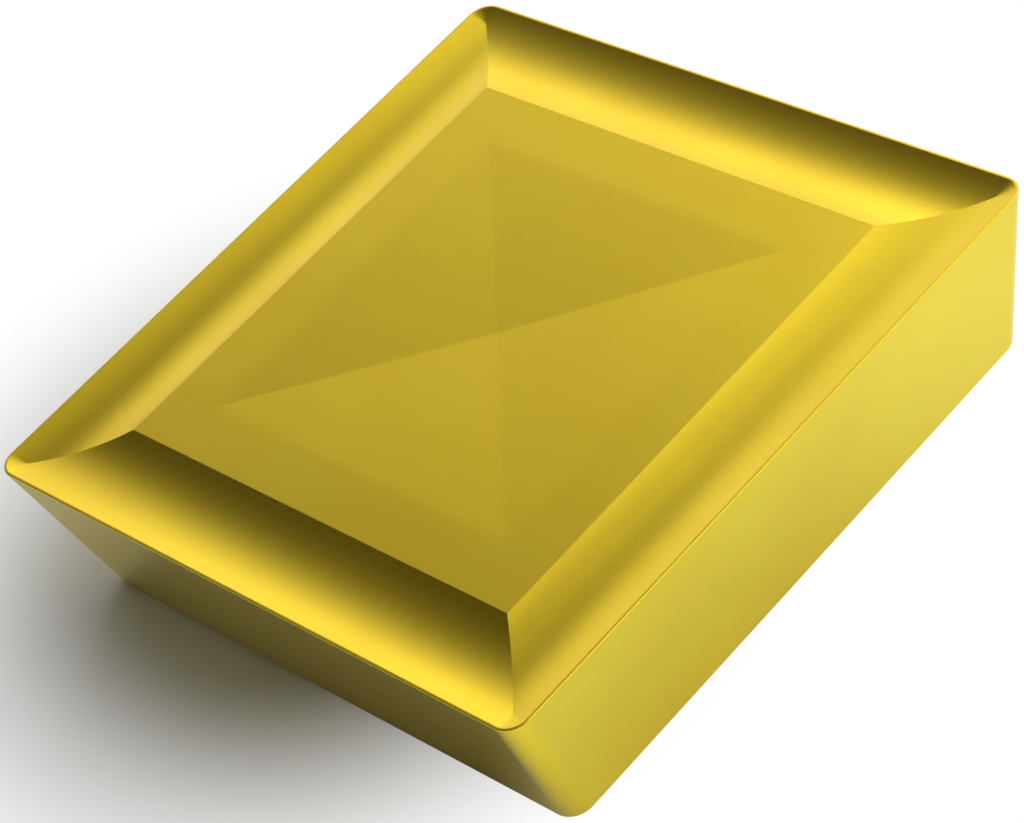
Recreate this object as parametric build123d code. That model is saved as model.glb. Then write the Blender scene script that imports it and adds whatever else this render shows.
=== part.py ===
from build123d import *
import os
from math import cos, radians, sqrt, tan

# Indexable carbide insert: a square, positive, holeless insert with a chipbreaker groove pressed
# round its one cutting side. It is a single sintered body. Millimetres, +Z up, origin at the centre
# of the seating face, edges of the square parallel to X and Y.

# Driving dimensions, the ISO square of 12.7 mm inscribed circle
SIDES = 4
INSCRIBED_CIRCLE = 12.7
THICKNESS = 3.18
RELIEF_ANGLE = 11.0
NOSE_RADIUS = 0.4

# Chipbreaker groove, an arc in section: measured in from the cutting edge and down from its level
LAND_WIDTH = 0.1
GROOVE_WIDTH = 1.69
GROOVE_DEPTH = 0.155

# Shallow four-sided dish in the middle of the island that the groove leaves
DISH_SIDE = 7.0
DISH_DEPTH = 0.075

# Hone on the cutting edge, rounding on the groove's two lips, and chamfer round the seating face
HONE_RADIUS = 0.03
LIP_RADIUS = 0.06
SEAT_CHAMFER = 0.05

# How far the groove's cutters reach above the cutting edge
HEADROOM = 0.5

HALF_SIDE = INSCRIBED_CIRCLE / 2
NOSE_CENTRE = HALF_SIDE - NOSE_RADIUS
GROOVE_INNER = LAND_WIDTH + GROOVE_WIDTH
GROOVE_MIDDLE = LAND_WIDTH + GROOVE_WIDTH / 2
GROOVE_RADIUS = (GROOVE_WIDTH**2 / 4 + GROOVE_DEPTH**2) / (2 * GROOVE_DEPTH)

# The hone rounds this much off each side, so the blank starts that much larger
RELIEF = radians(RELIEF_ANGLE)
HONE_LOSS = HONE_RADIUS * (tan(RELIEF) + 1 / cos(RELIEF) - 1)
BLANK_SIDE = INSCRIBED_CIRCLE + 2 * HONE_LOSS


def blank():
    """Plain insert: a square whose flanks draft in to the seat, with a round nose at each corner."""
    body = extrude(Rectangle(BLANK_SIDE, BLANK_SIDE), amount=THICKNESS)
    flanks = body.faces().filter_by(Axis.Z, reverse=True)
    body = draft(flanks, Plane.XY.offset(THICKNESS), -RELIEF_ANGLE)
    noses = body.edges().filter_by(lambda edge: edge.bounding_box().size.Z > THICKNESS / 2)
    return fillet(noses, NOSE_RADIUS)


def finish_outline(body):
    """Hone the cutting edge and chamfer the edge of the seat."""
    body = fillet(body.faces().sort_by(Axis.Z)[-1].outer_wire().edges(), HONE_RADIUS)
    return chamfer(body.faces().sort_by(Axis.Z)[0].outer_wire().edges(), SEAT_CHAMFER)


def groove_depth(inset):
    """Depth of the groove at a distance in from the cutting edge."""
    return sqrt(GROOVE_RADIUS**2 - (inset - GROOVE_MIDDLE) ** 2) - (GROOVE_RADIUS - GROOVE_DEPTH)


def groove_section(x, inner):
    """Section of the groove from the land in to a given inset, across the side that faces -Y."""
    insets = (LAND_WIDTH, (LAND_WIDTH + inner) / 2, inner)
    floor = ThreePointArc(*[(inset, -groove_depth(inset)) for inset in insets])
    lid = Polyline(floor @ 1, (inner, HEADROOM), (LAND_WIDTH, HEADROOM), floor @ 0)
    across = Plane(origin=(x, -HALF_SIDE, THICKNESS), x_dir=(0, 1, 0), z_dir=(1, 0, 0))
    return across * make_face([floor, lid])


def side_cutter():
    """Straight stretch of the groove between two noses, mitred to its neighbours inside them."""
    bar = extrude(groove_section(0, GROOVE_INNER), amount=HALF_SIDE, both=True)
    near, far = -NOSE_CENTRE, -HALF_SIDE
    reach = Polyline((0, 0), (near, near), (near, far), (-near, far), (-near, near), close=True)
    return bar & extrude(make_face(reach), amount=THICKNESS + HEADROOM)


def nose_cutter():
    """The groove's quarter turn round a nose, from the land in to the centre of the nose radius."""
    section = groove_section(NOSE_CENTRE, NOSE_RADIUS)
    return revolve(section, Axis((NOSE_CENTRE, -NOSE_CENTRE, 0), (0, 0, 1)), revolution_arc=90)


def chipbreaker():
    """Cutters for the whole groove: a side and a nose, repeated round the square."""
    quarter = [side_cutter(), nose_cutter()]
    return [Rot(0, 0, turn * 360 / SIDES) * cutter for turn in range(SIDES) for cutter in quarter]


def round_lips(body):
    """Round the groove's lips, where it runs out to the land and to the island."""
    land, island = body.faces().group_by(Axis.Z)[-1].sort_by(SortBy.AREA)
    return fillet(land.inner_wires()[0].edges() + island.outer_wire().edges(), LIP_RADIUS)


def dish():
    """Cutter for the dish: a four-sided pyramid, point down, that is DISH_SIDE wide at the island."""
    mouth = Plane.XY.offset(THICKNESS + DISH_DEPTH) * Rectangle(2 * DISH_SIDE, 2 * DISH_SIDE)
    return loft([mouth, Vertex(0, 0, THICKNESS - DISH_DEPTH)])


os.makedirs("parts", exist_ok=True)
insert = round_lips(finish_outline(blank()) - chipbreaker()) - dish()
insert.label = "insert"
export_step(insert, "parts/insert.step")
print("volume", round(insert.volume, 2), "mm3")
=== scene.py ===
from math import acos, asin, cos, hypot, pi, radians, sin, sqrt, tan

import bmesh
import bpy
from bpy.props import FloatProperty, FloatVectorProperty, IntProperty, PointerProperty
from mathutils import Matrix, Vector


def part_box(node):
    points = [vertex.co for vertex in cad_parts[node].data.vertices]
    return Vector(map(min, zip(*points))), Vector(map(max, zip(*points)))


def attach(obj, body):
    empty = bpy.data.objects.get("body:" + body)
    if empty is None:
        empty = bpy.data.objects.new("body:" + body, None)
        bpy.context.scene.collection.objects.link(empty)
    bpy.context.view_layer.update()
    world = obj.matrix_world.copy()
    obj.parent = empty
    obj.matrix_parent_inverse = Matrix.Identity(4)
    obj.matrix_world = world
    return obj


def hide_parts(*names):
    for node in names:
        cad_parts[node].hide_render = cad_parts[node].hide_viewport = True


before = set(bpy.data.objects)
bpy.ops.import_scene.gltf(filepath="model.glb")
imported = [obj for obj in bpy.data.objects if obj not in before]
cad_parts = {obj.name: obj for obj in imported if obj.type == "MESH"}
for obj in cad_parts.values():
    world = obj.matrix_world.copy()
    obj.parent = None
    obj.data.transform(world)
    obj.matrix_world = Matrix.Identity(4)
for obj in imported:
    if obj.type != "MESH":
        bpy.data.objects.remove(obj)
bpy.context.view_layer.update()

bl_info = {
    "name": "Carbide insert",
    "version": (1, 0, 0),
    "blender": (4, 5, 0),
    "location": "3D View > Sidebar > Insert",
    "description": "Models a square coated cutting insert and the small studio it lies in",
    "category": "Object",
}

NODE = "insert"
BODY = "root"
MM = 0.001
LOWEST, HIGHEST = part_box(NODE)
SIDE = (HIGHEST.x - LOWEST.x) / MM
THICKNESS = (HIGHEST.z - LOWEST.z) / MM


def linear(hex_colour):
    """Linear red, green and blue of an sRGB hex colour."""
    channels = [int(hex_colour[i : i + 2], 16) / 255 for i in (1, 3, 5)]
    return [c / 12.92 if c <= 0.04045 else ((c + 0.055) / 1.055) ** 2.4 for c in channels]


# --- What a user would change -------------------------------------------------------------------


def length(name, description, default):
    """A length in millimetres."""
    return FloatProperty(name=name, description=description, default=default, min=0.0, precision=3)


def angle(name, description, default):
    """An angle, given in degrees."""
    return FloatProperty(
        name=name, description=description, default=radians(default), subtype="ANGLE"
    )


def colour(name, description, hex_colour):
    """A colour, given as sRGB hex."""
    return FloatVectorProperty(
        name=name, description=description, default=linear(hex_colour), subtype="COLOR",
        min=0.0, max=1.0,
    )


def share(name, description, default):
    """A number from 0 to 1."""
    return FloatProperty(name=name, description=description, default=default, min=0.0, max=1.0)


def count(name, description, default):
    """How many facets an arc has."""
    return IntProperty(name=name, description=description, default=default, min=1)


class InsertSizes(bpy.types.PropertyGroup):
    """Sizes of the insert in millimetres."""

    side: length("Side", "Width over two opposite cutting edges", SIDE)
    thickness: length("Thickness", "Height of the cutting edges over the seat", THICKNESS)
    nose: length("Nose radius", "Radius of the corners seen from above", 0.4)
    relief: angle("Relief", "Lean of the flanks", 11)
    hone: length("Hone", "Radius of the cutting edge", 0.02)
    land: length("Land", "Width of the flat land behind the cutting edge", 0.05)
    groove_width: length("Groove width", "Width of the chipbreaker groove", 1.74)
    groove_depth: length("Groove depth", "Depth of the chipbreaker groove", 0.155)
    lip: length("Lip", "Radius of the groove's two lips", 0.06)
    dish_side: length("Dish side", "Width of the dish in the island", 7.0)
    dish_depth: length("Dish depth", "Depth of the dish at its centre", 0.075)
    dish_rim: length("Dish rim", "Width over which the dish's rim is rounded", 0.3)
    seat_chamfer: length("Seat chamfer", "Width of the chamfer round the seat", 0.05)
    groove_steps: count("Groove steps", "Facets across the groove", 64)
    nose_steps: count("Nose steps", "Facets round a nose", 32)
    edge_steps: count("Edge steps", "Facets on each small edge", 10)


class InsertFinish(bpy.types.PropertyGroup):
    """Colours and gloss of the coating."""

    face_gold: colour("Face gold", "Titanium nitride on the pressed face", "#F0D135")
    # The flank gold is painted shade. It is a little greener than the face gold, to take out the
    # warm cast that light bounced between the gold and the floor gives the flanks, so that the
    # shaded near flank looks olive. The seat takes it too.
    flank_gold_shade_tint: colour("Flank gold", "Titanium nitride on the flanks and the seat", "#F0DB38")
    face_roughness: share("Face roughness", "Gloss of the pressed face", 0.36)
    flank_roughness: share("Flank roughness", "Gloss of the flanks and the seat", 0.22)


class StageSettings(bpy.types.PropertyGroup):
    """The floor, the light's level and the camera."""

    floor: colour("Floor", "Matt white card", "#F6F6F5")
    level: share("Level", "Radiance of the softest surroundings, where 1 is white", 0.05)
    azimuth: angle("Azimuth", "Camera's turn round the insert from the -Y side", 60.46)
    elevation: angle("Elevation", "Camera's height", 40.767)
    roll: angle("Roll", "Camera's roll", -25.387)
    distance: length("Distance", "From the camera to the point it looks at", 60.757)
    lens: FloatProperty(name="Lens", description="Focal length", default=129.976, unit="CAMERA")


# --- The insert's mesh, in millimetres until it is finished -----------------------------------

# Points nearer than this are one point
TINY = 1e-4

# Edges that turn more than this stay sharp
CREASE = radians(30)

# The insert's material slots. A face belongs to the pressed face or to the seat by how far its
# normal points up, and to the flanks where it is neither.
FACE, FLANK, SEAT = range(3)
PRESSED_FROM = 0.5
SEAT_BELOW = -0.9


class Section:
    """Section across the side that faces -Y, drawn from the flank in to the centre. A place on it
    is an inset from the cutting edge and a height over it."""

    def __init__(self, bm, sizes, x, inset, height):
        self.bm = bm
        self.origin = Vector((x, -sizes.side / 2, sizes.thickness))
        self.end = bm.verts.new(self.place(inset, height))

    def place(self, inset, height):
        """The point at an inset and a height."""
        return self.origin + Vector((0, inset, height))

    def arc(self, inset, height, turn, steps):
        """Turn about a centre, anticlockwise where the turn is positive."""
        spun = bmesh.ops.spin(
            self.bm, geom=[self.end], cent=self.place(inset, height), axis=(1, 0, 0), angle=turn,
            steps=steps, dvec=(0, 0, 0),
        )
        self.end = [v for v in spun["geom_last"] if isinstance(v, bmesh.types.BMVert)][0]

    def line(self, inset, height):
        """Run straight on to a place."""
        self.end = bmesh.ops.extrude_vert_indiv(self.bm, verts=[self.end])["verts"][0]
        self.end.co = self.place(inset, height)


def draw_section(bm, sizes):
    """The whole section: hone, land, lip, groove, lip, border and dish."""
    hone, lip, depth = sizes.hone, sizes.lip, sizes.groove_depth
    middle = sizes.land + sizes.groove_width / 2
    radius = (sizes.groove_width**2 / 4 + depth**2) / (2 * depth)
    lip_reach = sqrt((radius + lip) ** 2 - (radius - depth + lip) ** 2)
    slope = acos((radius - depth + lip) / (radius + lip))
    at_nose = asin((middle - sizes.nose) / radius)
    fine_steps = sizes.edge_steps

    relief = sizes.relief
    start = (hone - hone * cos(relief), -hone - hone * sin(relief))
    section = Section(bm, sizes, sizes.side / 2 - sizes.nose, *start)
    section.arc(hone, -hone, -(pi / 2 + relief), fine_steps)
    section.line(middle - lip_reach, 0)
    section.arc(middle - lip_reach, -lip, -slope, fine_steps)
    outer_steps = round(sizes.groove_steps * (slope - at_nose) / (2 * slope))
    section.arc(middle, radius - depth, slope - at_nose, outer_steps)
    section.arc(middle, radius - depth, slope + at_nose, sizes.groove_steps - outer_steps)
    section.arc(middle + lip_reach, -lip, -slope, fine_steps)

    fall = sizes.dish_depth / (sizes.dish_side / 2)
    rim = (sizes.side - sizes.dish_side) / 2 - sizes.dish_rim / 2
    pitch = asin(fall / hypot(1, fall))
    section.line(rim, 0)
    section.arc(rim, -sizes.dish_rim / 2 / tan(pitch / 2), -pitch, fine_steps)
    section.line(sizes.side / 2, -sizes.dish_depth)


def sweep_top(bm, sizes):
    """Sweep the section along one side, mitre it, turn it round one nose, and repeat the two round
    the square."""
    nose_centre = sizes.side / 2 - sizes.nose
    side = bmesh.ops.extrude_edge_only(bm, edges=bm.edges[:])["geom"]
    moved = [v for v in side if isinstance(v, bmesh.types.BMVert)]
    bmesh.ops.translate(bm, verts=moved, vec=(-2 * nose_centre, 0, 0))
    for beyond in ((1, 1, 0), (-1, 1, 0)):
        bmesh.ops.bisect_plane(
            bm, geom=bm.verts[:] + bm.edges[:] + bm.faces[:], plane_co=(0, 0, 0), plane_no=beyond,
            dist=TINY, clear_outer=True,
        )
    ends = [e for e in bm.edges if all(abs(v.co.x - nose_centre) < TINY for v in e.verts)]
    bmesh.ops.spin(
        bm, geom=ends, cent=(nose_centre, -nose_centre, 0), axis=(0, 0, 1), angle=pi / 2,
        steps=sizes.nose_steps, dvec=(0, 0, 0),
    )
    bmesh.ops.spin(
        bm, geom=bm.verts[:] + bm.edges[:] + bm.faces[:], cent=(0, 0, 0), axis=(0, 0, 1),
        angle=3 * pi / 2, steps=3, dvec=(0, 0, 0), use_duplicate=True,
    )
    bmesh.ops.remove_doubles(bm, verts=bm.verts[:], dist=TINY)


def lower_flanks(bm, sizes):
    """Draw the outline down to the seat, leaning in, then close the seat and chamfer round it."""
    outline = [e for e in bm.edges if e.is_boundary]
    grown = bmesh.ops.extrude_edge_only(bm, edges=outline)["geom"]
    low = [v for v in grown if isinstance(v, bmesh.types.BMVert)]
    rise = sizes.seat_chamfer * cos(sizes.relief)
    drop = low[0].co.z - rise
    lean = drop * tan(sizes.relief)
    for x in (-1, 1):
        for y in (-1, 1):
            corner = [v for v in low if v.co.x * x > 0 and v.co.y * y > 0]
            bmesh.ops.translate(bm, verts=corner, vec=(-x * lean, -y * lean, -drop))
    rim = [e for e in bm.edges if e.is_boundary]
    seat = bmesh.ops.holes_fill(bm, edges=rim, sides=0)["faces"]
    bmesh.ops.recalc_face_normals(bm, faces=bm.faces[:])
    width = sizes.seat_chamfer * (1 + sin(sizes.relief))
    bmesh.ops.inset_region(
        bm, faces=seat, thickness=width, depth=rise, use_boundary=True, use_even_offset=True
    )


def finish_faces(bm, sizes):
    """Smooth the arcs, keep the mitres and the chamfer sharp, and share out the three finishes.

    The point at a nose's centre joins two sides and the nose, which would average to one normal
    there, so the first edges beside the nose are sharp too."""
    bmesh.ops.recalc_face_normals(bm, faces=bm.faces[:])
    nose_centre = sizes.side / 2 - sizes.nose
    for edge in bm.edges:
        start, end = (v.co for v in edge.verts)
        places = [sorted((abs(p.x), abs(p.y))) for p in (start, end, (start + end) / 2)]
        inside = [far < nose_centre + TINY for near, far in places]
        on_mitre = all(inside) and all(far - near < TINY for near, far in places)
        by_nose = any(inside) and all(abs(near - nose_centre) < TINY for near, far in places)
        sharp = on_mitre or by_nose or edge.calc_face_angle() > CREASE
        edge.smooth = not sharp
    for face in bm.faces:
        face.smooth = True
        face.material_index = FACE if face.normal.z > PRESSED_FROM else FLANK
        if face.normal.z < SEAT_BELOW:
            face.material_index = SEAT


def model_insert(sizes):
    """The insert's finished mesh, in metres."""
    bm = bmesh.new()
    draw_section(bm, sizes)
    sweep_top(bm, sizes)
    lower_flanks(bm, sizes)
    finish_faces(bm, sizes)
    bmesh.ops.scale(bm, verts=bm.verts[:], vec=(MM, MM, MM))
    mesh = bpy.data.meshes.new("carbide_insert")
    bm.to_mesh(mesh)
    bm.free()
    return mesh


# --- Materials ----------------------------------------------------------------------------------


def add(material, kind, inputs=None, **settings):
    """A node with its settings, and its inputs linked to other nodes' outputs or set to values."""
    node = material.node_tree.nodes.new(kind)
    for name, value in settings.items():
        setattr(node, name, value)
    for name, value in (inputs or {}).items():
        if isinstance(value, bpy.types.NodeSocket):
            material.node_tree.links.new(value, node.inputs[name])
        else:
            node.inputs[name].default_value = value
    return node


def start_material(name):
    """An empty material."""
    material = bpy.data.materials.new(name)
    material.use_nodes = True
    material.node_tree.nodes.clear()
    return material


def in_millimetres(material, stretch=(1, 1, 1)):
    """The piece's own coordinates in millimetres, so that a pattern's scale is its number of
    features a millimetre. A stretch under 1 draws the pattern out along that axis."""
    place = add(material, "ShaderNodeTexCoord").outputs["Object"]
    scale = [along / MM for along in stretch]
    return add(material, "ShaderNodeMapping", {"Vector": place, "Scale": scale}).outputs["Vector"]


def spread(material, noise, low, high):
    """Noise, which lies between about 0.3 and 0.7, spread out between two values."""
    return add(
        material, "ShaderNodeMapRange",
        {"Value": noise, "From Min": 0.3, "From Max": 0.7, "To Min": low, "To Max": high},
    ).outputs["Result"]


# What is left of the film's red, green and blue where it is thinnest
BRONZE = (0.95, 0.92, 0.9)

# How far the film's thickness and the carbide's texture each turn the roughness either way
CLOUD_GLOSS = 0.012
TEXTURE_GLOSS = 0.02

# Drifts of the film's thickness a millimetre
CLOUDS_PER_MM = 0.3

# Features a millimetre, and their height in millimetres
PRESSED_TEXTURE = (22, 0.0012)
GROUND_TEXTURE = (18, 0.001)

# How the texture is drawn out along X, Y and Z: not at all by the punch, along each flank by the
# wheel that grinds the four of them, and along X by the one that grinds the seat
EVEN = (1, 1, 1)
ALONG_FLANKS = (0.05, 0.05, 1)
ALONG_X = (0.03, 1, 1)


def coating(name, gold, roughness, stretch, texture_size):
    """Titanium nitride, vapour-deposited a few micrometres thick on cemented carbide.

    The film follows the carbide's own surface, so it gives a satin gold and not a mirror. It drifts
    a little towards bronze over some millimetres, where it is thinner. The carbide's texture is 1
    to 3 micrometres across, too fine to show, so it is drawn about twenty times as coarse."""
    features_per_mm, height = texture_size
    material = start_material(name)
    clouds = add(
        material, "ShaderNodeTexNoise",
        {"Vector": in_millimetres(material), "Scale": CLOUDS_PER_MM, "Detail": 3.0},
    ).outputs["Fac"]
    texture = add(
        material, "ShaderNodeTexNoise",
        {"Vector": in_millimetres(material, stretch), "Scale": features_per_mm, "Detail": 2.0},
    ).outputs["Fac"]
    film = add(
        material, "ShaderNodeMixRGB",
        {"Fac": spread(material, clouds, 0, 1), "Color1": (*gold, 1), "Color2": (*BRONZE, 1)},
        blend_type="MULTIPLY",
    ).outputs["Color"]
    cloudy = spread(material, clouds, roughness - CLOUD_GLOSS, roughness + CLOUD_GLOSS)
    gloss = add(
        material, "ShaderNodeMath",
        {0: cloudy, 1: spread(material, texture, -TEXTURE_GLOSS, TEXTURE_GLOSS)},
        operation="ADD",
    ).outputs["Value"]
    bump = add(
        material, "ShaderNodeBump", {"Height": texture, "Distance": height * MM, "Strength": 1.0}
    ).outputs["Normal"]
    shader = add(
        material, "ShaderNodeBsdfPrincipled",
        {"Base Color": film, "Metallic": 1.0, "Roughness": gloss, "Normal": bump},
    )
    add(material, "ShaderNodeOutputMaterial", {"Surface": shader.outputs["BSDF"]})
    return material


# Clay-coated card: very matt, with less than half the gloss of a plastic
CARD_ROUGHNESS = 0.9
CARD_GLOSS = 0.2

# Middle of the insert's shadow, and the distances from it, in millimetres, between which the
# floor's painted white glow rises from none to full where the metal mirrors it, painting the shadow
# out beyond. For the eye the painted glow rises nearer, so the eye sees less of the shadow than the
# metal mirrors.
SHADOW_MIDDLE = (-3.5, -3, 0)
PAINTED_GLOW_RISE = (7.5, 14)
GLOW_NEARER_FOR_EYE = 4


def white_card_with_painted_glow(name, shade):
    """Coated white card, matt, so that it gives a soft shadow and hardly any gloss. Away from the
    insert it glows plain white, a painted glow that is no lamp and paints the insert's shadow out,
    both for the eye and in what the metal mirrors. For the eye the glow begins nearer."""
    material = start_material(name)
    card = add(
        material, "ShaderNodeBsdfPrincipled",
        {"Base Color": (*shade, 1), "Roughness": CARD_ROUGHNESS, "Specular IOR Level": CARD_GLOSS},
    )
    # The painted glow: plain white emission on the floor, though the floor is no lamp
    white = add(material, "ShaderNodeEmission", {"Color": (1, 1, 1, 1), "Strength": 1.0})
    from_shadow = add(
        material, "ShaderNodeVectorMath", {0: in_millimetres(material), 1: SHADOW_MIDDLE},
        operation="DISTANCE",
    ).outputs["Value"]
    ray = add(material, "ShaderNodeLightPath").outputs
    # For the eye the distance is stretched, so that the painted glow paints the shadow out nearer
    # for the eye than in the metal's mirror
    reached = add(
        material, "ShaderNodeMath", {0: ray["Is Camera Ray"], 1: GLOW_NEARER_FOR_EYE, 2: from_shadow},
        operation="MULTIPLY_ADD",
    ).outputs["Value"]
    glow_fade_in = add(
        material, "ShaderNodeMapRange",
        {"Value": reached, "From Min": PAINTED_GLOW_RISE[0], "From Max": PAINTED_GLOW_RISE[1]},
        interpolation_type="SMOOTHSTEP",
    ).outputs["Result"]
    seen = ray["Is Camera Ray"]
    for kind in ("Is Glossy Ray", "Is Transmission Ray"):
        either = add(material, "ShaderNodeMath", {0: seen, 1: ray[kind]}, operation="ADD")
        seen = either.outputs["Value"]
    # Share of painted glow over the lit card, only for the eye and for what metal and glass mirror
    glow_share = add(
        material, "ShaderNodeMath", {0: seen, 1: glow_fade_in}, operation="MULTIPLY", use_clamp=True
    ).outputs["Value"]
    shader = add(
        material, "ShaderNodeMixShader",
        {0: glow_share, 1: card.outputs["BSDF"], 2: white.outputs["Emission"]},
    )
    add(material, "ShaderNodeOutputMaterial", {"Surface": shader.outputs["Shader"]})
    return material


def insert_finishes(finish):
    """The insert's three finishes, in the order of FACE, FLANK and SEAT."""
    pressed = (finish.face_gold, finish.face_roughness)
    # The flanks and the seat take the greener flank gold, which is painted shade.
    ground = (finish.flank_gold_shade_tint, finish.flank_roughness)
    return (
        coating("TiN on pressed face", *pressed, EVEN, PRESSED_TEXTURE),
        coating("TiN on ground flanks", *ground, ALONG_FLANKS, GROUND_TEXTURE),
        coating("TiN on ground seat", *ground, ALONG_X, GROUND_TEXTURE),
    )


# --- Operators ----------------------------------------------------------------------------------


def show(name, mesh):
    """Put a mesh in the scene as an object at the origin."""
    piece = bpy.data.objects.new(name, mesh)
    bpy.context.scene.collection.objects.link(piece)
    return piece


class INSERT_OT_body(bpy.types.Operator):
    """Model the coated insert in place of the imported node"""

    bl_idname = "insert.body"
    bl_label = "Carbide insert"

    def execute(self, context):
        sizes, finish = context.scene.insert_sizes, context.scene.insert_finish
        mesh = model_insert(sizes)
        for material in insert_finishes(finish):
            mesh.materials.append(material)
        piece = show("carbide_insert", mesh)
        weighted = piece.modifiers.new("Even normals", "WEIGHTED_NORMAL")
        weighted.keep_sharp = True
        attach(piece, BODY)
        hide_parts(NODE)
        return {"FINISHED"}


# The point that the camera looks at, in millimetres, and the nearest that it sees, in metres
AIM = Vector((0.5753, -0.7164, 2.1659))
NEAREST = 0.001

# The floor's radius in metres
FLOOR_RADIUS = 0.7
FLOOR_CORNERS = 96

# Softboxes: the azimuth and elevation of each one's middle and how wide and high it looks from the
# insert, all in degrees, its distance in metres, and its radiance, where 1 is white
SOFTBOXES = {
    "main softbox": (142, 39, 80, 76, 0.5, 1.35),
    "left softbox": (228, 20, 54, 36, 0.4, 1.1),
    "high left softbox": (219, 42, 16, 38, 0.4, 1.05),
    "low front softbox": (20, 14, 100, 22, 0.4, 0.22),
    "low side softbox": (290, 14, 84, 22, 0.4, 0.22),
}


def direction(azimuth, elevation):
    """Unit vector towards an azimuth, turning from -Y to +X, and an elevation."""
    level = cos(elevation)
    return Vector((sin(azimuth) * level, -cos(azimuth) * level, sin(elevation)))


def hang_softbox(name, azimuth, elevation, width, height, distance, radiance):
    """A rectangular lamp that faces the insert, its power worked out from its radiance."""
    lamp = bpy.data.lights.new(name, "AREA")
    lamp.shape = "RECTANGLE"
    lamp.size = 2 * distance * tan(radians(width / 2))
    lamp.size_y = 2 * distance * tan(radians(height / 2))
    lamp.energy = radiance * pi * lamp.size * lamp.size_y
    towards = direction(radians(azimuth), radians(elevation))
    holder = bpy.data.objects.new(name, lamp)
    holder.location = towards * distance
    holder.rotation_euler = towards.to_track_quat("Z", "Y").to_euler()
    holder.visible_camera = False
    bpy.context.scene.collection.objects.link(holder)


class INSERT_OT_stage(bpy.types.Operator):
    """Set up the floor, the soft light and the camera"""

    bl_idname = "insert.stage"
    bl_label = "Stage"

    def execute(self, context):
        settings = context.scene.insert_stage
        bm = bmesh.new()
        bmesh.ops.create_circle(bm, cap_ends=True, segments=FLOOR_CORNERS, radius=FLOOR_RADIUS)
        mesh = bpy.data.meshes.new("floor")
        bm.to_mesh(mesh)
        bm.free()
        # The floor's material glows white away from the insert, which is painted light
        mesh.materials.append(white_card_with_painted_glow("Matt white card", settings.floor))
        show("floor", mesh)

        for name, where in SOFTBOXES.items():
            hang_softbox(name, *where)
        world = bpy.data.worlds.new("Dim room")
        world.use_nodes = True
        walls = world.node_tree.nodes["Background"].inputs
        walls["Color"].default_value = (1, 1, 1, 1)
        walls["Strength"].default_value = settings.level
        context.scene.world = world

        camera = bpy.data.cameras.new("camera")
        camera.lens = settings.lens
        camera.clip_start = NEAREST
        holder = bpy.data.objects.new("camera", camera)
        back = direction(settings.azimuth, settings.elevation)
        turn = Matrix.Rotation(settings.azimuth, 4, "Z")
        turn = turn @ Matrix.Rotation(pi / 2 - settings.elevation, 4, "X")
        turn = turn @ Matrix.Rotation(settings.roll, 4, "Z")
        holder.matrix_world = Matrix.Translation((AIM + back * settings.distance) * MM) @ turn
        context.scene.collection.objects.link(holder)
        context.scene.camera = holder
        context.scene.view_settings.view_transform = "Standard"
        return {"FINISHED"}


class INSERT_PT_panel(bpy.types.Panel):
    """Sizes, finish and stage, with their buttons"""

    bl_idname = "INSERT_PT_panel"
    bl_label = "Carbide insert"
    bl_space_type = "VIEW_3D"
    bl_region_type = "UI"
    bl_category = "Insert"

    def draw(self, context):
        scene = context.scene
        for group in (scene.insert_sizes, scene.insert_finish, scene.insert_stage):
            for name in group.__annotations__:
                self.layout.prop(group, name)
        self.layout.operator(INSERT_OT_body.bl_idname)
        self.layout.operator(INSERT_OT_stage.bl_idname)


CLASSES = (
    InsertSizes, InsertFinish, StageSettings, INSERT_OT_body, INSERT_OT_stage, INSERT_PT_panel
)


def register():
    for cls in CLASSES:
        bpy.utils.register_class(cls)
    bpy.types.Scene.insert_sizes = PointerProperty(type=InsertSizes)
    bpy.types.Scene.insert_finish = PointerProperty(type=InsertFinish)
    bpy.types.Scene.insert_stage = PointerProperty(type=StageSettings)


def unregister():
    del bpy.types.Scene.insert_stage
    del bpy.types.Scene.insert_finish
    del bpy.types.Scene.insert_sizes
    for cls in reversed(CLASSES):
        bpy.utils.unregister_class(cls)


def main():
    register()
    bpy.ops.insert.body()
    bpy.ops.insert.stage()


if __name__ == "__main__":
    main()
